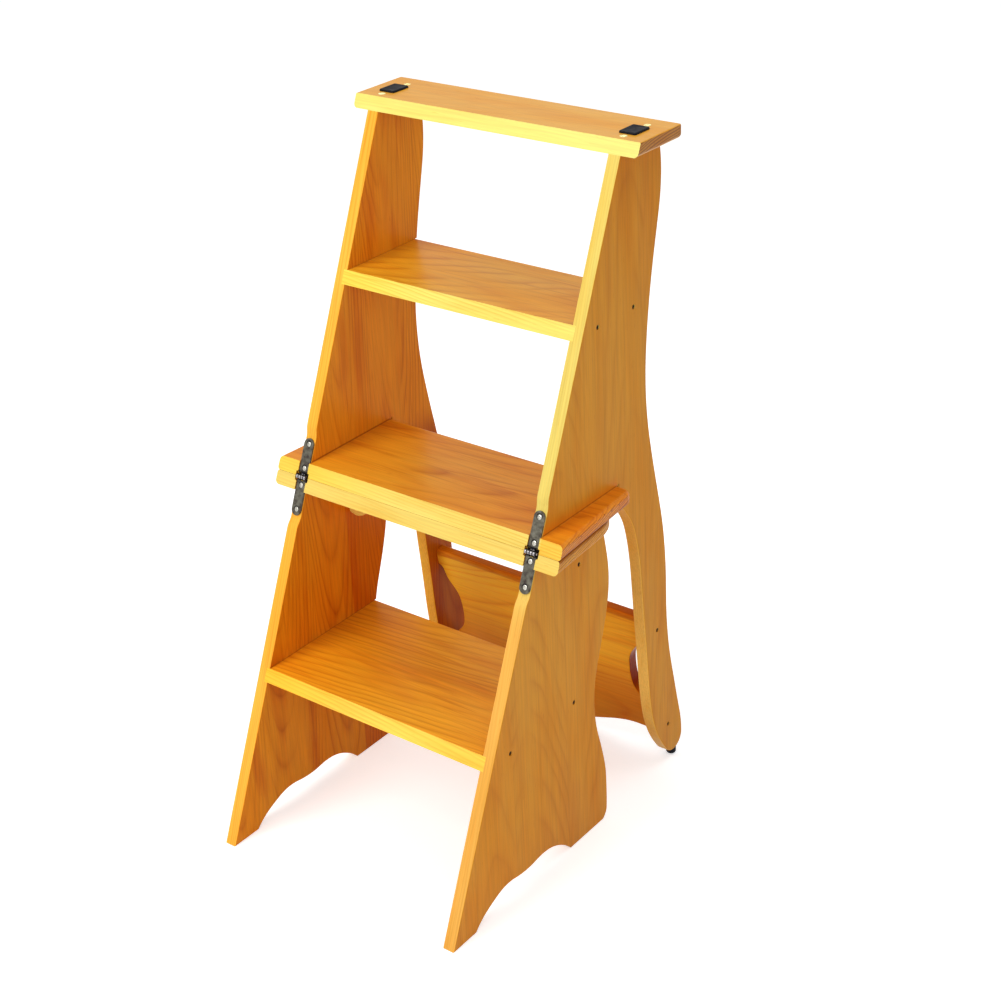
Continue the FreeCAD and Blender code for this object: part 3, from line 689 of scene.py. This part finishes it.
def add_screw(points, faces, end, radius, shank, dome):
    start, way, cross, other, length = end
    count = SCREW_GRID
    base = len(points)
    for j in range(count + 1):
        for i in range(count + 1):
            u, v = 2 * i / count - 1, 2 * j / count - 1
            x, y = u * math.sqrt(1 - v * v / 2), v * math.sqrt(1 - u * u / 2)
            out = (cross * x + other * y) * radius
            points.append(start + out + way * head_depth(x, y, radius, dome))
    row = count + 1
    for j in range(count):
        for i in range(count):
            a = base + j * row + i
            faces.append((a, a + row, a + row + 1, a + 1))
    rim = [base + i for i in range(count)]
    rim += [base + j * row + count for j in range(count)]
    rim += [base + count * row + i for i in range(count, 0, -1)]
    rim += [base + j * row for j in range(count, 0, -1)]
    rings = [rim]
    neck = shank / radius
    for share, depth in ((1.0, SCREW_RIM), (neck, SCREW_NECK), (neck, length * 0.85), (SCREW_TIP, length)):
        ring = []
        for index in rim:
            out = points[index] - start
            out -= way * out.dot(way)
            ring.append(len(points))
            points.append(start + out * share + way * depth)
        rings.append(ring)
    join_rings(faces, rings)
    faces.append(tuple(rings[-1]))


def make_screws():
    into_edge = Vector(INTO_EDGE)
    from_side = Vector(SIDE)
    kinds = (("lower_hinge_screws", "lower_unit", into_edge, screw_metal, HINGE_SCREW),
             ("upper_hinge_screws", "upper_unit", into_edge, screw_metal, HINGE_SCREW),
             ("lower_step_screws", "lower_unit", from_side, shaded_screw_metal, WOOD_SCREW),
             ("apron_screws", "lower_unit", from_side, shaded_screw_metal, WOOD_SCREW),
             ("upper_step_screws", "upper_unit", from_side, shaded_screw_metal, WOOD_SCREW),
             ("back_board_screws", "upper_unit", from_side, shaded_screw_metal, WOOD_SCREW))
    for name, body, into, material, sizes in kinds:
        points, faces = [], []
        for end in screw_ends(name, into):
            add_screw(points, faces, end, **sizes)
        add_piece(name + "_detail", points, faces, material, body, name)


def pad_outline(inset):
    # a rectangle with round corners, quarter by quarter
    outline = []
    reach = max(PAD_CORNER - inset, PAD_LEAST_CORNER)
    inner_x = PAD_HALF_X - max(PAD_CORNER, inset)
    inner_y = PAD_HALF_Y - max(PAD_CORNER, inset)
    for quarter, (sx, sy) in enumerate(((1, 1), (-1, 1), (-1, -1), (1, -1))):
        for k in range(PAD_STEPS):
            angle = math.radians(90 * quarter + 90 / (PAD_STEPS - 1) * k)
            outline.append((sx * inner_x + reach * math.cos(angle), sy * inner_y + reach * math.sin(angle)))
    return outline


def make_pads():
    # low pads with soft edges and a slightly hollow top
    for word in ("left", "right"):
        low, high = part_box("top_pad_" + word)
        centre_x = (low[0] + high[0]) / 2
        centre_y = (low[1] + high[1]) / 2 + PAD_SETBACK
        points, faces, loops = [], [], []
        for inset, rise in PAD_RINGS:
            outline = pad_outline(inset)
            loops.append(list(range(len(points), len(points) + len(outline))))
            points += [(centre_x + x, centre_y + y, low[2] + rise) for x, y in outline]
        join_rings(faces, loops)
        faces.append(tuple(loops[-1]))
        faces.append(tuple(reversed(loops[0])))
        add_piece("pad_" + word + "_detail", points, faces, black, "upper_unit", "top_pad_" + word)


def middle_y(points):
    return sum(p.y for p in points) / len(points)


def raise_back_board():
    # the photographed board reaches a little higher than the CAD one
    source = nodes["back_board"]
    mesh = source.data.copy()
    mesh.name = "back_board_detail"
    piece = bpy.data.objects.new("back_board_detail", mesh)
    scene.collection.objects.link(piece)
    piece.matrix_world = source.matrix_world.copy()
    inverse = source.matrix_world.inverted()
    points = [source.matrix_world @ vertex.co for vertex in mesh.vertices]
    top = max(p.z for p in points)
    bottom = min(p.z for p in points)
    crown = [p for p in points if p.z > top - EDGE_BAND]
    base = [p for p in points if p.z < bottom + EDGE_BAND]
    slope = Vector((0.0, (middle_y(crown) - middle_y(base)) / (top - bottom), 1.0))
    for vertex, p in zip(mesh.vertices, points):
        if p.z > top - BACK_BOARD_CROWN:
            vertex.co = inverse @ (p + slope * BACK_BOARD_RISE)
    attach(piece, "upper_unit")
    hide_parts("back_board")


make_screws()
make_pads()
raise_back_board()

# Studio: a pale floor that keeps the shadow, a white surround and soft lamps
FLOOR_REACH = 6.0
FLOOR_TONES = (0.80, 0.82)
FLOOR_GLOW = 0.55
WORLD_LIGHT = 0.6
AIM = (0, 0, 0.45)


def seen_directly(g):
    # 1 for the camera and for what gloss or glass shows
    path = g.add("ShaderNodeLightPath")
    seen = g.math("MAXIMUM", path.outputs["Is Camera Ray"], path.outputs["Is Glossy Ray"])
    return g.math("MAXIMUM", seen, path.outputs["Is Transmission Ray"])


def make_floor():
    mesh = bpy.data.meshes.new("floor")
    r = FLOOR_REACH
    mesh.from_pydata([(-r, -r, 0), (r, -r, 0), (r, r, 0), (-r, r, 0)], [], [(0, 1, 2, 3)])
    floor = bpy.data.objects.new("floor", mesh)
    scene.collection.objects.link(floor)
    material, g, shader = new_material("floor")
    place = g.add("ShaderNodeTexCoord").outputs["Object"]
    grain = g.noise(place, scale=3.0)
    g.feed(shader.inputs["Base Color"], g.ramp(grain, list(zip((0.0, 1.0), FLOOR_TONES))))
    shader.inputs["Roughness"].default_value = 0.9
    shader.inputs["Emission Color"].default_value = (1, 1, 1, 1)
    g.feed(shader.inputs["Emission Strength"], g.times(seen_directly(g), FLOOR_GLOW))
    mesh.materials.append(material)


def make_world():
    world = bpy.data.worlds.new("world")
    scene.world = world
    world.use_nodes = True
    world.node_tree.nodes.clear()
    g = Graph(world.node_tree)
    output = g.add("ShaderNodeOutputWorld")
    back = g.add("ShaderNodeBackground")
    strength = g.times_add(seen_directly(g), 1.0 - WORLD_LIGHT, WORLD_LIGHT)
    g.feed(back.inputs["Strength"], strength)
    world.node_tree.links.new(back.outputs[0], output.inputs["Surface"])


def area(name, place, size, energy):
    data = bpy.data.lights.new(name, "AREA")
    data.shape = "DISK"
    data.size = size
    data.energy = energy
    lamp = bpy.data.objects.new(name, data)
    scene.collection.objects.link(lamp)
    lamp.location = place
    lamp.rotation_euler = (Vector(AIM) - Vector(place)).to_track_quat("-Z", "Y").to_euler()


make_floor()
make_world()
area("key", (-1.2, -2.6, 3.2), 2.2, 84.0)
area("fill", (2.8, -1.6, 1.6), 2.0, 11.0)
area("top", (0.4, 0.6, 3.0), 2.2, 22.0)
